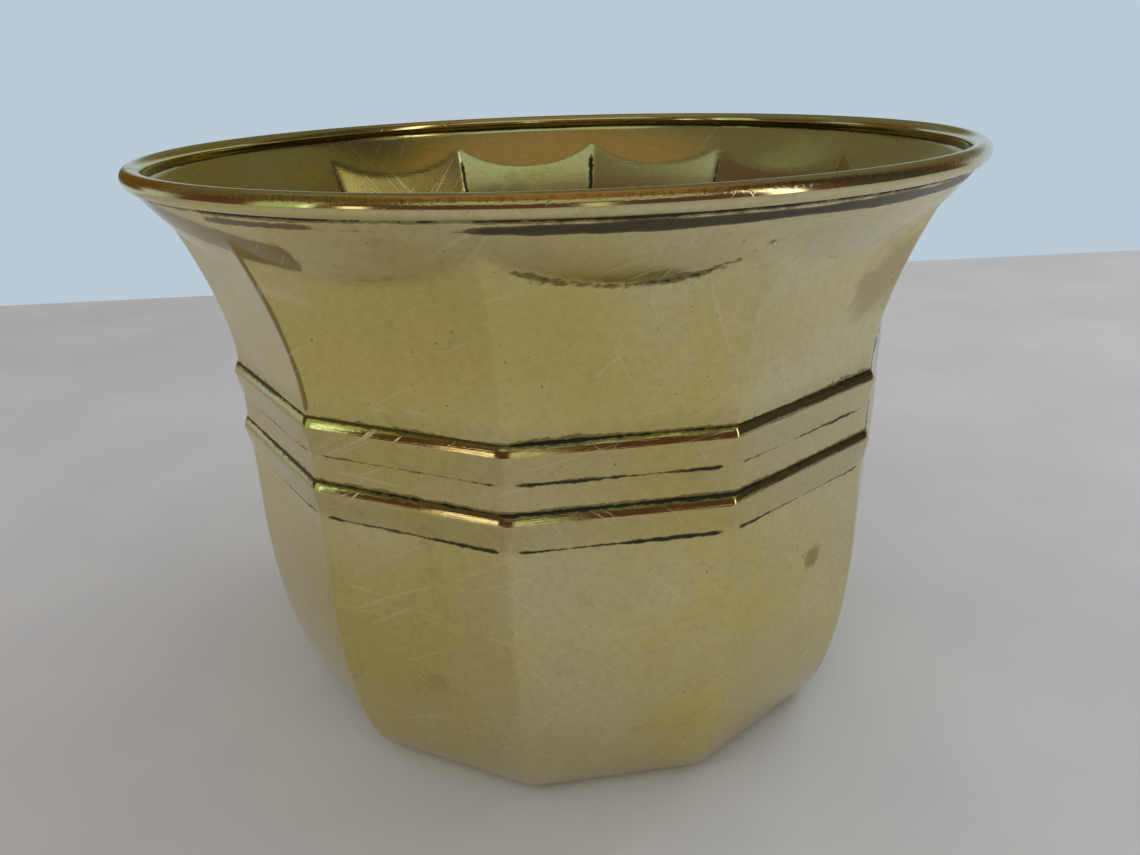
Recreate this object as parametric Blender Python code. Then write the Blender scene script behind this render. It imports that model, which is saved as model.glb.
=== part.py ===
"""Twelve-sided brass planter pot, pressed from one sheet, with a wired rim.

The shell is a single sheet of brass.  Its outside face runs from the middle of
the foot, round the heel, up the twelve flat facets and their two pressed ribs,
through the flare, and into a bead that curls outwards round a stiffening wire.
Its inside face runs back down the same way, one sheet thickness behind.

Units are metres and +Z is up.  The origin is on the pot's axis, in the plane
that the foot stands on.  Facets are centred on the X and Y axes.
"""

import math

import bmesh
import bpy

# Driving dimensions: the whole pot
SIDES = 12
HEIGHT = 0.150              # foot to the top of the rim bead
RIM_DIAMETER = 0.210        # over the rim bead
WAIST_DIAMETER = 0.1786     # over the corners, where the flare starts
BELLY_DIAMETER = 0.1821     # over the corners, at the top of the heel
FOOT_DIAMETER = 0.1540      # over the corners of the flat foot
SHEET = 0.0008              # thickness of the brass

# Foot and heel
DISH_DIAMETER = 0.124       # the raised middle of the foot
DISH_RISE = 0.0010
DISH_SLOPE = 0.004          # width of the ring that rises to the dish
HEEL_HEIGHT = 0.0543
HEEL_FULLNESS = 2.29        # 2 is an ellipse, more is squarer

# Ribs, each a rounded shoulder over a flat band with a small step below it
RIB_CRESTS = (0.0835, 0.0987)   # heights of the two crests
RIB_PROUD = 0.0012
RIB_SHOULDER = 0.0026       # height of the rounded shoulder above the crest
RIB_BAND = 0.0061           # height of the flat band below the crest
RIB_STEP = 0.0005           # how far the band's lower edge stands off the wall
RIB_GROOVE = 0.0007         # depth of the matching groove inside

# Flare and the round cup that carries the rim
FLARE_DEPTH = 0.046         # from the rim down to where the corners start to lean out
FLARE_POWER = 1.66          # how late the corners lean out
FACET_END_DEPTH = 0.0101    # from the rim down to where the corners die out
CUP_SLOPE = 0.63            # outward run for each unit of rise, just below the bead
CUP_CURVE = 12.5            # how fast that slope grows further down, per metre

# Rim bead and its wire
BEAD_DIAMETER = 0.0044
WALL_OFFSET = 0.00025       # wall's outside face, outboard of the bead's centre
LIP_ANGLE = math.radians(-56)       # where the curl's free edge stops
THROAT_ANGLE = math.radians(-80)    # where the sheet enters the curl
CREASE_ANGLE = math.radians(247)    # where the bead leaves the wall inside
CREASE_DROP = 0.0005        # from the bead's foot down to the wall's inside face
WIRE_CLEARANCE = 0.0003     # all round the wire, inside the curl

# Facets of the model
SPLITS_PER_SIDE = 4
HEEL_STEPS = 9
FLARE_STEPS = 8
CUP_STEPS = 4
SHOULDER_STEPS = 3
CURL_STEP = math.radians(30)
WIRE_SIDES = 10

COLUMNS = SIDES * SPLITS_PER_SIDE
HALF_SIDE = math.pi / SIDES
BEAD_RADIUS = BEAD_DIAMETER / 2
BEAD_CENTRE_RADIUS = RIM_DIAMETER / 2 - BEAD_RADIUS
BEAD_CENTRE_HEIGHT = HEIGHT - BEAD_RADIUS
CUP_TOP_RADIUS = BEAD_CENTRE_RADIUS + WALL_OFFSET
CUP_TOP_HEIGHT = HEIGHT - BEAD_DIAMETER
FACET_END_HEIGHT = HEIGHT - FACET_END_DEPTH
FLARE_START = HEIGHT - FLARE_DEPTH

BRASS_COLOUR = (0.62, 0.50, 0.24, 1.0)
WIRE_COLOUR = (0.42, 0.40, 0.36, 1.0)


def cup_radius(height):
    """Outside radius of the round cup below the bead."""
    drop = CUP_TOP_HEIGHT - height
    return CUP_TOP_RADIUS - CUP_SLOPE * drop - CUP_CURVE * drop * drop


def cup_slope(height):
    """Outward run of the cup's outside face for each unit of rise."""
    return CUP_SLOPE + 2 * CUP_CURVE * (CUP_TOP_HEIGHT - height)


def flare_share(height):
    """How far the corners have leant out, from 0 at the waist to 1 at their end."""
    span = FACET_END_HEIGHT - FLARE_START
    return max(0.0, (height - FLARE_START) / span) ** FLARE_POWER


def corner_radius(height):
    """Outside radius of the corners above the heel, without the ribs."""
    belly = BELLY_DIAMETER / 2
    waist = WAIST_DIAMETER / 2
    taper = min(1.0, max(0.0, (height - HEEL_HEIGHT) / (FLARE_START - HEEL_HEIGHT)))
    straight = belly + (waist - belly) * taper
    return straight + (cup_radius(FACET_END_HEIGHT) - waist) * flare_share(height)


def corner_slope(height):
    """Outward run of the corners for each unit of rise."""
    probe = 0.0001
    return (corner_radius(height + probe) - corner_radius(height - probe)) / (2 * probe)


def slant_wall(slope):
    """Level width of the sheet where its face leans by the slope."""
    return SHEET * math.sqrt(1 + slope * slope)


def rib_stand(height, crest):
    """How far a rib's outside face stands off the wall."""
    above = height - crest
    if 0 <= above <= RIB_SHOULDER:
        return RIB_PROUD * math.sqrt(1 - (above / RIB_SHOULDER) ** 2)
    if -RIB_BAND <= above < 0:
        return RIB_PROUD + (RIB_PROUD - RIB_STEP) * above / RIB_BAND
    return 0.0


def groove_depth(height, crest):
    """How far a rib's inside face is pushed out of the wall."""
    low = crest - RIB_BAND
    high = crest + RIB_SHOULDER
    if not low < height < high:
        return 0.0
    return RIB_GROOVE * math.sin(math.pi * (height - low) / (high - low))


def ring(bm, height, corner, circle=0.0):
    """One level ring of vertices: a polygon, pushed out to a circle where that is larger."""
    verts = []
    for column in range(COLUMNS):
        angle = 2 * math.pi * column / COLUMNS
        from_middle = (angle + HALF_SIDE) % (2 * HALF_SIDE) - HALF_SIDE
        facet = corner * math.cos(HALF_SIDE) / math.cos(from_middle)
        radius = max(facet, circle)
        verts.append(bm.verts.new((radius * math.cos(angle), radius * math.sin(angle), height)))
    return verts


def bridge(bm, lower, upper):
    """A band of faces between two rings, facing out when upper follows lower up the outside."""
    for column in range(COLUMNS):
        following = (column + 1) % COLUMNS
        bm.faces.new((lower[column], lower[following], upper[following], upper[column]))


def cap(bm, rim, height, facing_up):
    """Triangles from a ring to a point on the axis."""
    centre = bm.verts.new((0, 0, height))
    for column in range(COLUMNS):
        following = (column + 1) % COLUMNS
        edge = (rim[column], rim[following]) if facing_up else (rim[following], rim[column])
        bm.faces.new((edge[0], edge[1], centre))


def levels_above_heel():
    """Heights of the rings between the heel and the end of the facets."""
    heights = {FLARE_START, FACET_END_HEIGHT}
    for step in range(1, FLARE_STEPS):
        heights.add(FLARE_START + (FACET_END_HEIGHT - FLARE_START) * step / FLARE_STEPS)
    for crest in RIB_CRESTS:
        for step in range(SHOULDER_STEPS + 1):
            quarter = math.pi / 2 * step / SHOULDER_STEPS
            heights.add(crest + RIB_SHOULDER * math.sin(quarter))
        heights.add(crest - RIB_BAND)
    return sorted(height for height in heights if HEEL_HEIGHT < height <= FACET_END_HEIGHT)


def add_foot_and_heel(bm, inset, dish_rise):
    """Rings of one face of the sheet, from the dish to the top of the heel."""
    dish = DISH_DIAMETER / 2
    rings = [
        ring(bm, inset + dish_rise, 0.0, dish - DISH_SLOPE),
        ring(bm, inset, 0.0, dish),
    ]
    foot = FOOT_DIAMETER / 2
    reach = BELLY_DIAMETER / 2 - foot - inset
    rise = HEEL_HEIGHT - inset
    for step in range(HEEL_STEPS + 1):
        quarter = math.pi / 2 * step / HEEL_STEPS
        out = math.sin(quarter) ** (2 / HEEL_FULLNESS)
        up = 1 - math.cos(quarter) ** (2 / HEEL_FULLNESS)
        rings.append(ring(bm, inset + rise * up, foot + reach * out))
    return rings


def add_outside_wall(bm):
    """Rings of the outside face, from above the heel to the bead."""
    rings = []
    for height in levels_above_heel():
        stand = sum(rib_stand(height, crest) for crest in RIB_CRESTS)
        below_step = any(abs(height - crest + RIB_BAND) < 1e-9 for crest in RIB_CRESTS)
        if below_step:
            rings.append(ring(bm, height - RIB_STEP, corner_radius(height), cup_radius(height)))
        rings.append(ring(bm, height, corner_radius(height) + stand, cup_radius(height)))
    for step in range(1, CUP_STEPS + 1):
        height = FACET_END_HEIGHT + (CUP_TOP_HEIGHT - FACET_END_HEIGHT) * step / CUP_STEPS
        rings.append(ring(bm, height, 0.0, cup_radius(height)))
    return rings


def add_inside_wall(bm):
    """Rings of the inside face, from above the heel to just below the bead."""
    rings = []
    for height in levels_above_heel():
        groove = sum(groove_depth(height, crest) for crest in RIB_CRESTS)
        corner = corner_radius(height) - slant_wall(corner_slope(height)) + groove
        rings.append(ring(bm, height, corner, cup_radius(height) - slant_wall(cup_slope(height))))
    top = CUP_TOP_HEIGHT - CREASE_DROP
    for step in range(1, CUP_STEPS + 1):
        height = FACET_END_HEIGHT + (top - FACET_END_HEIGHT) * step / CUP_STEPS
        rings.append(ring(bm, height, 0.0, cup_radius(height) - slant_wall(cup_slope(height))))
    return rings


def add_arc(bm, radius, start, end):
    """Rings of an arc round the bead's centre, no further apart than the curl's step."""
    steps = math.ceil(abs(end - start) / CURL_STEP)
    angles = [start + (end - start) * step / steps for step in range(steps + 1)]
    return [
        ring(
            bm,
            BEAD_CENTRE_HEIGHT + radius * math.sin(angle),
            0.0,
            BEAD_CENTRE_RADIUS + radius * math.cos(angle),
        )
        for angle in angles
    ]


def add_curl(bm):
    """Rings of the bead: round the wire inside the curl, over the free edge, and back outside."""
    full_turn = 2 * math.pi
    hollow = BEAD_RADIUS - SHEET
    around_wire = add_arc(bm, hollow, THROAT_ANGLE, LIP_ANGLE - full_turn)
    lip_to_side = add_arc(bm, BEAD_RADIUS, LIP_ANGLE, 0.0)
    side_to_top = add_arc(bm, BEAD_RADIUS, 0.0, math.pi / 2)[1:]
    top_to_crease = add_arc(bm, BEAD_RADIUS, math.pi / 2, CREASE_ANGLE)[1:]
    return around_wire + lip_to_side + side_to_top + top_to_crease


def build_shell():
    """The pot's one sheet, as a closed body with its outside and inside faces."""
    bm = bmesh.new()
    outside = add_foot_and_heel(bm, 0.0, DISH_RISE) + add_outside_wall(bm)
    curl = add_curl(bm)
    inside = add_foot_and_heel(bm, SHEET, DISH_RISE) + add_inside_wall(bm)
    path = outside + curl + inside[::-1]
    for lower, upper in zip(path, path[1:]):
        bridge(bm, lower, upper)
    cap(bm, outside[0], DISH_RISE, facing_up=False)
    cap(bm, inside[0], SHEET + DISH_RISE, facing_up=True)
    bmesh.ops.triangulate(bm, faces=bm.faces[:])
    return finish(bm, "pot_shell", brass())


def build_wire():
    """The wire that the rim is curled round."""
    bm = bmesh.new()
    radius = BEAD_RADIUS - SHEET - WIRE_CLEARANCE
    rings = [
        ring(
            bm,
            BEAD_CENTRE_HEIGHT + radius * math.sin(2 * math.pi * step / WIRE_SIDES),
            0.0,
            BEAD_CENTRE_RADIUS + radius * math.cos(2 * math.pi * step / WIRE_SIDES),
        )
        for step in range(WIRE_SIDES)
    ]
    for lower, upper in zip(rings, rings[1:] + rings[:1]):
        bridge(bm, lower, upper)
    bmesh.ops.triangulate(bm, faces=bm.faces[:])
    return finish(bm, "rim_wire", steel())


def finish(bm, name, material):
    """Turn a bmesh into a named, shaded object."""
    bmesh.ops.recalc_face_normals(bm, faces=bm.faces[:])
    mesh = bpy.data.meshes.new(name)
    bm.to_mesh(mesh)
    bm.free()
    mesh.materials.append(material)
    mesh.shade_smooth()
    mesh.set_sharp_from_angle(angle=math.radians(20))
    obj = bpy.data.objects.new(name, mesh)
    bpy.context.collection.objects.link(obj)
    return obj


def metal(name, colour, roughness):
    """A plain metal with the given colour and roughness."""
    material = bpy.data.materials.new(name)
    material.use_nodes = True
    shader = material.node_tree.nodes["Principled BSDF"]
    shader.inputs["Base Color"].default_value = colour
    shader.inputs["Metallic"].default_value = 1.0
    shader.inputs["Roughness"].default_value = roughness
    return material


def brass():
    """Polished yellow brass."""
    return metal("polished_brass", BRASS_COLOUR, 0.22)


def steel():
    """Drawn steel wire."""
    return metal("drawn_steel", WIRE_COLOUR, 0.45)


for old in list(bpy.data.objects):
    bpy.data.objects.remove(old, do_unlink=True)

build_shell()
build_wire()
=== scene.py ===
"""Looks of the brass planter pot: the pressed shell, the wire in its rim, the light and the view.

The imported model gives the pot's height and the width over its rim.  The shell is built again here from
the same profile as the part, with many more rings and columns, soft creases and the small waves that
hand polishing leaves.  Lengths are metres, +Z is up, and the first facet is centred on +X.
"""

import logging
import math
from collections.abc import Callable
from dataclasses import dataclass, field, fields
from enum import Enum
from functools import cached_property

import bpy
import numpy as np
from mathutils import Matrix, Vector, noise

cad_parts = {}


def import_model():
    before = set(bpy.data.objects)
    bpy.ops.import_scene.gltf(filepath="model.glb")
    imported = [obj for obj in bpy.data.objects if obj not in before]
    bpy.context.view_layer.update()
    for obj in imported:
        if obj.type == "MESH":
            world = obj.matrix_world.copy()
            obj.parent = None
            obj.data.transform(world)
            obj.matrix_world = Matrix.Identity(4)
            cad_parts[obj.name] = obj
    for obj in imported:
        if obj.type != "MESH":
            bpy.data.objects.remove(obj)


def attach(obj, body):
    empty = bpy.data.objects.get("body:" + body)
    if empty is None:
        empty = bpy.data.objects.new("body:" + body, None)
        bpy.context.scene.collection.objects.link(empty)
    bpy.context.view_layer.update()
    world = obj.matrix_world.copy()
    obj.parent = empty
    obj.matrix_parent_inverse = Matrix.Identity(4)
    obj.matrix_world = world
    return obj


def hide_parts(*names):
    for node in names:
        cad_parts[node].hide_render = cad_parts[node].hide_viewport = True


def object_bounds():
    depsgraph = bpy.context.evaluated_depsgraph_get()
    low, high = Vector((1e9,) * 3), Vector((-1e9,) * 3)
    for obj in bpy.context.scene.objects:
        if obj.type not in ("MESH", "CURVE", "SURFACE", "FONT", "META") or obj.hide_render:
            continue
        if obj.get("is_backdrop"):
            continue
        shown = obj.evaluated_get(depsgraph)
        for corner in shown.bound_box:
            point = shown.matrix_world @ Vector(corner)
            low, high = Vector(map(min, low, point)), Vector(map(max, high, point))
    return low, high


LOG = logging.getLogger("planter_pot")
BODY = "root"
SIDES = 12
HALF_SIDE = math.pi / SIDES
FULL_TURN = 2 * math.pi

Span = tuple[float, float]
Triple = tuple[float, float, float]
Colour = tuple[float, float, float, float]
Socket = bpy.types.NodeSocket
Feed = Socket | float | Triple | Colour
Inputs = dict[str | int, Feed]


class Mask(Enum):
    """Fields painted on the shell's vertices for its finish to read."""

    RESIDUE = "residue"      # how near the creases over the ribs and under the bead are
    STEP = "step"            # how near the small steps under the bands, or an inside corner, are; along the inside corners it carries painted dark reflections
    ARC = "arc"              # how near the scalloped end of a facet is
    SEAM = "seam"            # painted amber reflections along two corners and in a tongue under the bead
    COLLAR = "collar"        # painted shadow on the wall under the bead, partly residue
    CROWN = "crown"          # 1 along the worn part of the bead
    INSIDE = "inside"        # 1 on the inside face of the sheet
    SHOULDER = "shoulder"    # 1 on the rounded shoulders of the ribs


def smooth_step(value: np.ndarray, low: float, high: float) -> np.ndarray:
    """Ease from 0 at low to 1 at high.

    Args:
        value: Numbers to ease.
        low: Value that gives 0.
        high: Value that gives 1.

    Returns:
        Numbers from 0 to 1, in the shape of value.
    """
    share = np.clip((value - low) / (high - low), 0.0, 1.0)
    return share * share * (3 - 2 * share)


def soft_larger(first: np.ndarray, second: np.ndarray, softness: float) -> np.ndarray:
    """The larger of two surfaces, with the crease between them rounded.

    Args:
        first: One surface's radii.
        second: The other surface's radii.
        softness: Difference of radius over which the crease is rounded.

    Returns:
        The rounded larger radius.
    """
    overlap = np.clip(softness - np.abs(first - second), 0.0, None) / softness
    return np.maximum(first, second) + overlap * overlap * softness / 4


def nearness(value: np.ndarray, middle: float | np.ndarray, reach: float) -> np.ndarray:
    """How near numbers are to a middle.

    Args:
        value: Numbers to measure.
        middle: Value that gives 1.
        reach: Distance at which the result falls to 0.

    Returns:
        Numbers from 0 to 1.
    """
    return np.clip(1 - np.abs(value - middle) / reach, 0.0, 1.0)


@dataclass(frozen=True)
class Grain:
    """Fineness of a cloudy pattern."""

    scale: float
    detail: float
    roughness: float = 0.55


class NodeSketch:
    """Adds nodes to one tree and joins them."""

    def __init__(self, tree: bpy.types.NodeTree) -> None:
        """Keep the tree and clear it."""
        self.tree = tree
        tree.nodes.clear()

    def add(self, kind: str, inputs: Inputs | None = None, **settings: object) -> bpy.types.Node:
        """Add one node.

        Args:
            kind: Blender's name of the node type.
            inputs: Input values or sockets, by input name or place.
            settings: Node properties.

        Returns:
            The new node.
        """
        node = self.tree.nodes.new(kind)
        for name, value in settings.items():
            setattr(node, name, value)
        for key, value in (inputs or {}).items():
            self.feed(node.inputs[key], value)
        return node

    def feed(self, socket: Socket, value: Feed) -> None:
        """Set a socket.

        Args:
            socket: Input to set.
            value: A number, a colour or another socket.
        """
        if isinstance(value, Socket):
            self.tree.links.new(value, socket)
        else:
            socket.default_value = value

    def place(self) -> Socket:
        """Position on the object, in metres."""
        return self.add("ShaderNodeTexCoord").outputs["Object"]

    def mask(self, mask: Mask) -> Socket:
        """One of the painted masks."""
        return self.add("ShaderNodeAttribute", attribute_name=mask.value).outputs["Fac"]

    def math(self, operation: str, first: Feed, second: Feed = 0.5, clamp: bool = False) -> Socket:
        """A sum on one or two numbers."""
        node = self.add("ShaderNodeMath", {0: first, 1: second}, operation=operation, use_clamp=clamp)
        return node.outputs[0]

    def times(self, first: Feed, second: Feed) -> Socket:
        """One number times another."""
        return self.math("MULTIPLY", first, second)

    def plus(self, first: Feed, second: Feed) -> Socket:
        """Two numbers added."""
        return self.math("ADD", first, second)

    def minus(self, first: Feed, second: Feed) -> Socket:
        """One number less another."""
        return self.math("SUBTRACT", first, second)

    def larger(self, first: Feed, second: Feed) -> Socket:
        """The larger of two numbers."""
        return self.math("MAXIMUM", first, second)

    def stretch(self, vector: Socket, scale: Triple, lean: Triple = (0.0, 0.0, 0.0)) -> Socket:
        """A position turned and then scaled along each axis.

        Args:
            vector: Socket with the position.
            scale: Factor along each axis.
            lean: Turn round each axis, in radians.

        Returns:
            Socket with the new position.
        """
        node = self.add("ShaderNodeMapping", {"Vector": vector, "Rotation": lean}, vector_type="POINT")
        scaled = self.add("ShaderNodeVectorMath", {0: node.outputs[0], 1: scale}, operation="MULTIPLY")
        return scaled.outputs[0]

    def noise(self, vector: Socket, grain: Grain) -> Socket:
        """Cloudy numbers round 0.5.

        Args:
            vector: Socket with the position.
            grain: How fine the clouds are.

        Returns:
            Socket with the numbers.
        """
        inputs = {
            "Vector": vector,
            "Scale": grain.scale,
            "Detail": grain.detail,
            "Roughness": grain.roughness,
        }
        return self.add("ShaderNodeTexNoise", inputs).outputs["Fac"]

    def ease(self, value: Feed, limits: Span, result: Span = (0.0, 1.0)) -> Socket:
        """A smooth step of a number between two limits.

        Args:
            value: Number to ease.
            limits: Values between which the result changes.
            result: Results at the two limits.

        Returns:
            Socket with the eased number.
        """
        inputs = {
            "Value": value,
            "From Min": limits[0],
            "From Max": limits[1],
            "To Min": result[0],
            "To Max": result[1],
        }
        return self.add("ShaderNodeMapRange", inputs, interpolation_type="SMOOTHSTEP").outputs[0]

    def mix(self, share: Feed, base: Feed, cover: Feed) -> Socket:
        """One colour laid over another.

        Args:
            share: How much of the cover shows.
            base: Colour below.
            cover: Colour above.

        Returns:
            Socket with the mixed colour.
        """
        node = self.add("ShaderNodeMix", data_type="RGBA")
        factor, below, above = 0, 6, 7      # sockets of the colour version of the node
        self.feed(node.inputs[factor], share)
        self.feed(node.inputs[below], base)
        self.feed(node.inputs[above], cover)
        return node.outputs[2]

    def bump(self, height: Socket, strength: float, distance: float) -> Socket:
        """A normal that follows a relief.

        Args:
            height: Socket with the relief, in shares of distance.
            strength: How much of the relief shows.
            distance: Height of the relief at 1.

        Returns:
            Socket with the normal.
        """
        inputs = {"Height": height, "Strength": strength, "Distance": distance}
        return self.add("ShaderNodeBump", inputs).outputs[0]

    def surface(self, inputs: Inputs) -> None:
        """Close a material's tree with its shader.

        Args:
            inputs: The shader's inputs, by name.
        """
        shader = self.add("ShaderNodeBsdfPrincipled", inputs)
        self.add("ShaderNodeOutputMaterial", {"Surface": shader.outputs[0]})


def new_material(name: str) -> bpy.types.Material:
    """Make a material that uses nodes.

    Args:
        name: Name of the material.

    Returns:
        The material, with a tree that is still to be drawn.
    """
    made = bpy.data.materials.new(name)
    made.use_nodes = True
    return made


@dataclass(frozen=True)
class Stain:
    """A patch where the sheet has turned brown."""

    turn: float      # degrees round the pot, from +X towards +Y
    height: float
    out: float       # distance from the pot's axis
    radius: float
    depth: float

    @property
    def centre(self) -> Triple:
        """Point on the wall at the middle of the patch."""
        angle = math.radians(self.turn)
        return (self.out * math.cos(angle), self.out * math.sin(angle), self.height)


@dataclass(frozen=True)
class CreaseDirtAndShade:
    """Limits at which residue near one kind of crease turns green, and then black; along the inside
    corners this is painted dark reflection.
    """

    mask: Mask
    halo: Span
    heart: Span


@dataclass(frozen=True)
class PolishedBrass:
    """Old yellow brass: hand polished, tarnished in patches, with residue in its creases, painted
    reflections and a painted shadow under the bead.
    """

    pale: Colour = (0.68, 0.63, 0.37, 1.0)
    yellow: Colour = (0.67, 0.57, 0.20, 1.0)
    # colour of the painted amber reflections
    reflection_amber: Colour = (0.22, 0.15, 0.012, 1.0)
    brown: Colour = (0.33, 0.21, 0.09, 1.0)
    copper: Colour = (0.62, 0.34, 0.14, 1.0)
    olive: Colour = (0.17, 0.14, 0.03, 1.0)
    # reddish brown at the edge of the painted shadow under the bead
    rust: Colour = (0.15, 0.085, 0.040, 1.0)
    scraped: Colour = (0.86, 0.80, 0.56, 1.0)
    # black of the crease residue, the specks and the core of the painted shadow under the bead
    grime_and_shadow_black: Colour = (0.020, 0.019, 0.008, 1.0)
    clouds: Grain = Grain(16.0, 3.0)
    blotches: Grain = Grain(70.0, 6.0, 0.62)
    stain_edges: Grain = Grain(160.0, 5.0, 0.6)
    mottle: Grain = Grain(620.0, 3.0, 0.6)
    specks: Grain = Grain(900.0, 2.0, 0.5)
    pits: Grain = Grain(1100.0, 3.0, 0.6)
    crumbs: Grain = Grain(520.0, 5.0, 0.6)
    patches: Grain = Grain(40.0, 3.0)
    hammering: Grain = Grain(260.0, 2.0)
    spinning: Grain = Grain(900.0, 3.0)
    scratch_line: Grain = Grain(1.0, 1.0)
    polish_line: Grain = Grain(1.0, 3.0)
    scratch_stretch: Triple = (35.0, 35.0, 1500.0)
    scratch_leans: tuple[Triple, ...] = ((0.5, 0.2, 0.0), (-0.4, 0.7, 0.3), (1.1, -0.5, 0.8))
    streak_stretch: Triple = (30.0, 30.0, 900.0)
    drawn_stretch: Triple = (90.0, 90.0, 2600.0)
    crumb_stretch: Triple = (1.0, 1.0, 2.2)
    paler_per_metre: float = 1.8                     # towards +X
    rib_zone: tuple[Span, Span] = ((0.075, 0.080), (0.106, 0.102))
    spun_zone: Span = (0.006, 0.003)
    # limits of the painted shadow and residue under the bead
    collar_limits: Span = (0.38, 0.46)
    collar_core: Span = (0.50, 0.62)
    # the step crease also carries the painted dark reflections along the inside corners
    creases: tuple[CreaseDirtAndShade, ...] = (
        CreaseDirtAndShade(Mask.RESIDUE, (0.80, 0.95), (1.12, 1.28)),
        CreaseDirtAndShade(Mask.ARC, (1.16, 1.32), (1.38, 1.54)),
        CreaseDirtAndShade(Mask.STEP, (0.92, 1.06), (1.06, 1.22)),
    )
    polish: float = 0.07                             # roughness of the cleanest metal
    polish_spread: float = 0.08
    inside_dullness: float = 0.08
    streak_dullness: float = 0.06
    shoulder_gloss: float = 0.075
    smoothest: float = 0.035
    scratch_dullness: float = 0.12
    dull: float = 0.34                               # what full residue adds to the roughness
    stains: tuple[Stain, ...] = (
        Stain(311.0, 0.124, 0.093, 0.013, 0.50),
        Stain(304.0, 0.058, 0.088, 0.004, 0.70),
        Stain(266.0, 0.118, 0.090, 0.0016, 0.80),
        Stain(24.0, 0.070, 0.088, 0.014, 0.35),
        Stain(96.0, 0.118, 0.090, 0.015, 0.40),
        Stain(148.0, 0.045, 0.088, 0.012, 0.35),
        Stain(188.0, 0.122, 0.092, 0.010, 0.40),
    )

    def tarnish_and_reflections(self, sketch: NodeSketch, place: Socket, colour: Socket) -> Socket:
        """Lay blotches, the larger stains and painted amber reflections over a colour.

        Args:
            sketch: Tree to add to.
            place: Socket with the position.
            colour: Socket with the colour below.

        Returns:
            Socket with the tarnished colour.
        """
        blotch = sketch.ease(sketch.noise(place, self.blotches), (0.60, 0.74))
        colour = sketch.mix(sketch.times(blotch, 0.30), colour, self.brown)
        ragged = sketch.noise(place, self.stain_edges)
        for stain in self.stains:
            apart = sketch.add("ShaderNodeVectorMath", {0: place, 1: stain.centre}, operation="DISTANCE")
            near = sketch.math("DIVIDE", apart.outputs["Value"], stain.radius)
            near = sketch.plus(near, sketch.times(ragged, 1.2))
            colour = sketch.mix(sketch.ease(near, (1.55, 1.0), (0.0, stain.depth)), colour, self.brown)
        # painted amber reflections along two corners and in a tongue under the bead
        seam = sketch.plus(sketch.mask(Mask.SEAM), sketch.times(ragged, 0.5))
        return sketch.mix(sketch.ease(seam, (0.55, 0.85), (0.0, 0.85)), colour, self.reflection_amber)

    def scratches(self, sketch: NodeSketch, place: Socket) -> Socket:
        """Fine scratches that cross at a few angles.

        Args:
            sketch: Tree to add to.
            place: Socket with the position.

        Returns:
            Socket with 1 on a scratch and 0 elsewhere.
        """
        total = 0.0
        for lean in self.scratch_leans:
            lines = sketch.noise(sketch.stretch(place, self.scratch_stretch, lean), self.scratch_line)
            total = sketch.larger(total, sketch.ease(lines, (0.70, 0.74)))
        return total

    def clean_metal(self, sketch: NodeSketch, place: Socket, clouds: Socket, scratches: Socket) -> Socket:
        """Colour of the metal where nothing lies on it.

        Args:
            sketch: Tree to add to.
            place: Socket with the position.
            clouds: Socket with the broad clouds.
            scratches: Socket with the scratches.

        Returns:
            Socket with the colour.
        """
        parts = sketch.add("ShaderNodeSeparateXYZ", {0: place}).outputs
        richness = sketch.minus(clouds, sketch.times(parts["X"], self.paler_per_metre))
        colour = sketch.mix(sketch.ease(richness, (0.35, 0.68)), self.pale, self.yellow)
        colour = self.tarnish_and_reflections(sketch, place, colour)
        above, below = self.rib_zone
        ribbed = sketch.times(sketch.ease(parts["Z"], above), sketch.ease(parts["Z"], below))
        colour = sketch.mix(sketch.times(ribbed, 0.20), colour, self.brown)
        mottle = sketch.ease(sketch.noise(place, self.mottle), (0.35, 0.70), (0.0, 0.16))
        colour = sketch.mix(mottle, colour, self.brown)
        return sketch.mix(sketch.times(scratches, 0.25), colour, self.scraped)

    def crease_dirt_and_shade(self, sketch: NodeSketch, broken: Socket) -> tuple[Socket, Socket]:
        """Residue in the creases, and painted dark reflections along the inside corners.

        Args:
            sketch: Tree to add to.
            broken: Socket with the ragged numbers that break the residue up.

        Returns:
            Sockets with its green halo and its black heart.
        """
        halo = heart = 0.0
        for crease in self.creases:
            near = sketch.plus(sketch.mask(crease.mask), broken)
            halo = sketch.larger(halo, sketch.ease(near, crease.halo))
            heart = sketch.larger(heart, sketch.ease(near, crease.heart))
        return halo, heart

    def roughness(self, sketch: NodeSketch, clouds: Socket, streaks: Socket, scratches: Socket,
                  worn: Socket) -> Socket:
        """How dull the surface is.

        Args:
            sketch: Tree to add to.
            clouds: Socket with the broad clouds.
            streaks: Socket with the polishing streaks.
            scratches: Socket with the scratches.
            worn: Socket with how much residue there is.

        Returns:
            Socket with the roughness.
        """
        rough = sketch.ease(clouds, (0.3, 0.8), (self.polish, self.polish + self.polish_spread))
        rough = sketch.plus(rough, sketch.times(sketch.mask(Mask.INSIDE), self.inside_dullness))
        rough = sketch.plus(rough, sketch.times(streaks, self.streak_dullness))
        rough = sketch.minus(rough, sketch.times(sketch.mask(Mask.SHOULDER), self.shoulder_gloss))
        rough = sketch.larger(rough, self.smoothest)
        rough = sketch.plus(rough, sketch.times(scratches, self.scratch_dullness))
        return sketch.math("ADD", rough, sketch.times(worn, self.dull), clamp=True)

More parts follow.
